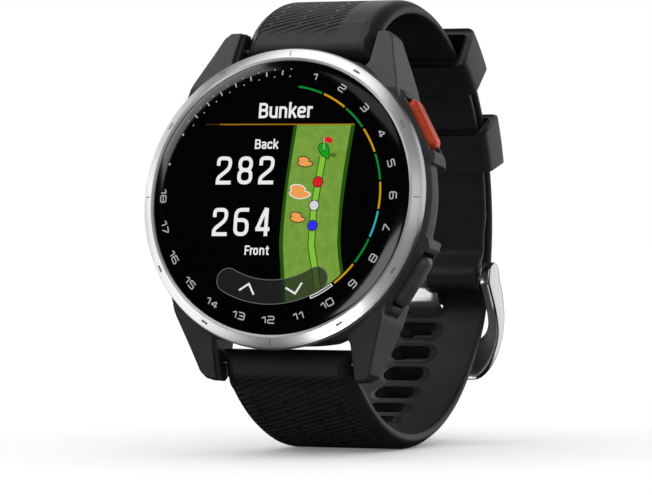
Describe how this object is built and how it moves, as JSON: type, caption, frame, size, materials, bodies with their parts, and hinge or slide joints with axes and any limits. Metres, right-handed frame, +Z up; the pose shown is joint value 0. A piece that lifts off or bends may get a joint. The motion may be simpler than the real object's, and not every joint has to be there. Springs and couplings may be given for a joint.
{
  "type": "golf gps watch",
  "caption": "Round golf watch with a domed touch screen, marked steel bezel, side push buttons, a buckled silicone strap with sliding keepers, and a charging port in its back.",
  "frame": {"origin": "under the middle of the watch's box, at the bottom of the strap loop, with the watch standing on its strap", "axes": "+Z up, +X towards 3 o'clock, -Y the way the dial faces; the dial leans back by 10 degrees"},
  "size_m": [0.0434, 0.0624, 0.0648],
  "materials": {
    "case_polymer": "fine moulded texture, dark grey",
    "bezel_steel": "turned and brushed",
    "cover_glass": "polished, dark",
    "gasket_rubber": "matt black",
    "display_module": "black, smooth",
    "flex_circuit": "amber film",
    "frame_plastic": "moulded, dark grey",
    "circuit_board": "green solder mask",
    "shield_steel": "tinned sheet",
    "chip_epoxy": "black moulding compound",
    "battery_pouch": "foil pouch",
    "motor_steel": "drawn steel",
    "rotor_weight": "sintered metal",
    "antenna_plastic": "plated plastic carrier",
    "contact_metal": "gold plated",
    "cover_plastic": "fine satin",
    "screw_steel": "dark plated",
    "port_plastic": "smooth black",
    "strap_silicone": "matt, grooved",
    "buckle_steel": "brushed",
    "button_red": "anodised red-orange",
    "button_grey": "anodised dark grey",
    "stem_steel": "ground",
    "switch_plastic": "black, with a steel lid",
    "plunger_plastic": "off-white"
  },
  "bodies": {
    "watch": {"case_body": "case_polymer", "bezel": "bezel_steel", "glass": "cover_glass", "glass_gasket": "gasket_rubber", "display": "display_module", "display_flex": "flex_circuit", "inner_frame": "frame_plastic", "main_board": "circuit_board", "shield_cans": "shield_steel", "board_chips": "chip_epoxy", "battery": "battery_pouch", "motor_can": "motor_steel", "motor_base": "motor_steel", "antenna": "antenna_plastic", "bezel_contact": "contact_metal", "button_flex": "flex_circuit", "back_cover": "cover_plastic", "back_cover_gasket": "gasket_rubber", "back_cover_screws": "screw_steel", "charging_port": "port_plastic", "charging_contacts": "contact_metal", "upper_strap": "strap_silicone", "lower_strap": "strap_silicone", "buckle_bar": "buckle_steel", "action_button_seal": "gasket_rubber", "action_switch": "switch_plastic", "back_button_seal": "gasket_rubber", "back_switch": "switch_plastic", "upper_bar_tube": "stem_steel", "upper_bar_fixed_tip": "stem_steel", "upper_bar_spring": "stem_steel", "lower_bar_tube": "stem_steel", "lower_bar_fixed_tip": "stem_steel", "lower_bar_spring": "stem_steel"},
    "action_button": {"action_button": "button_red", "action_button_stem": "stem_steel", "action_button_clip": "stem_steel", "action_switch_plunger": "plunger_plastic"},
    "back_button": {"back_button": "button_grey", "back_button_stem": "stem_steel", "back_button_clip": "stem_steel", "back_switch_plunger": "plunger_plastic"},
    "motor_rotor": {"motor_rotor": "rotor_weight"},
    "upper_keeper": {"upper_keeper": "strap_silicone"},
    "lower_keeper": {"lower_keeper": "strap_silicone"},
    "buckle_frame": {"buckle_frame": "buckle_steel"},
    "buckle_tongue": {"buckle_tongue": "buckle_steel"},
    "upper_release": {"upper_bar_release_tip": "stem_steel"},
    "lower_release": {"lower_bar_release_tip": "stem_steel"}
  },
  "joints": [
    {"name": "action_button_press", "type": "slide", "parent": "watch", "child": "action_button", "axis": [-0.866, -0.0871, -0.4924], "range_m": [0, 0.0005], "stiffness_N_per_m": 3000, "springref_m": -0.0003},
    {"name": "back_button_press", "type": "slide", "parent": "watch", "child": "back_button", "axis": [-0.866, 0.0871, 0.4924], "range_m": [0, 0.0005], "stiffness_N_per_m": 3000, "springref_m": -0.0003},
    {"name": "motor_spin", "type": "hinge", "parent": "watch", "child": "motor_rotor", "pos_m": [0, -0.01799, 0.04731], "axis": [0, -0.9847, 0.1742], "continuous": true},
    {"name": "upper_keeper_slide", "type": "hinge", "parent": "watch", "child": "upper_keeper", "pos_m": [0, -0.00488, 0.0324], "axis": [1, 0, 0], "range_deg": [-6, 4]},
    {"name": "lower_keeper_slide", "type": "hinge", "parent": "watch", "child": "lower_keeper", "pos_m": [0, -0.00488, 0.0324], "axis": [1, 0, 0], "range_deg": [-12, 6]},
    {"name": "buckle_frame_swing", "type": "hinge", "parent": "watch", "child": "buckle_frame", "pos_m": [0, 0.02526, 0.02436], "axis": [1, 0, 0], "range_deg": [-3, 0]},
    {"name": "buckle_tongue_lift", "type": "hinge", "parent": "watch", "child": "buckle_tongue", "pos_m": [0, 0.02526, 0.02436], "axis": [1, 0, 0], "range_deg": [0, 3]},
    {"name": "upper_bar_release", "type": "slide", "parent": "watch", "child": "upper_release", "axis": [1, 0, 0], "range_m": [-0.0011, 0], "stiffness_N_per_m": 800, "springref_m": 0.0015},
    {"name": "lower_bar_release", "type": "slide", "parent": "watch", "child": "lower_release", "axis": [1, 0, 0], "range_m": [-0.0011, 0], "stiffness_N_per_m": 800, "springref_m": 0.0015}
  ]
}
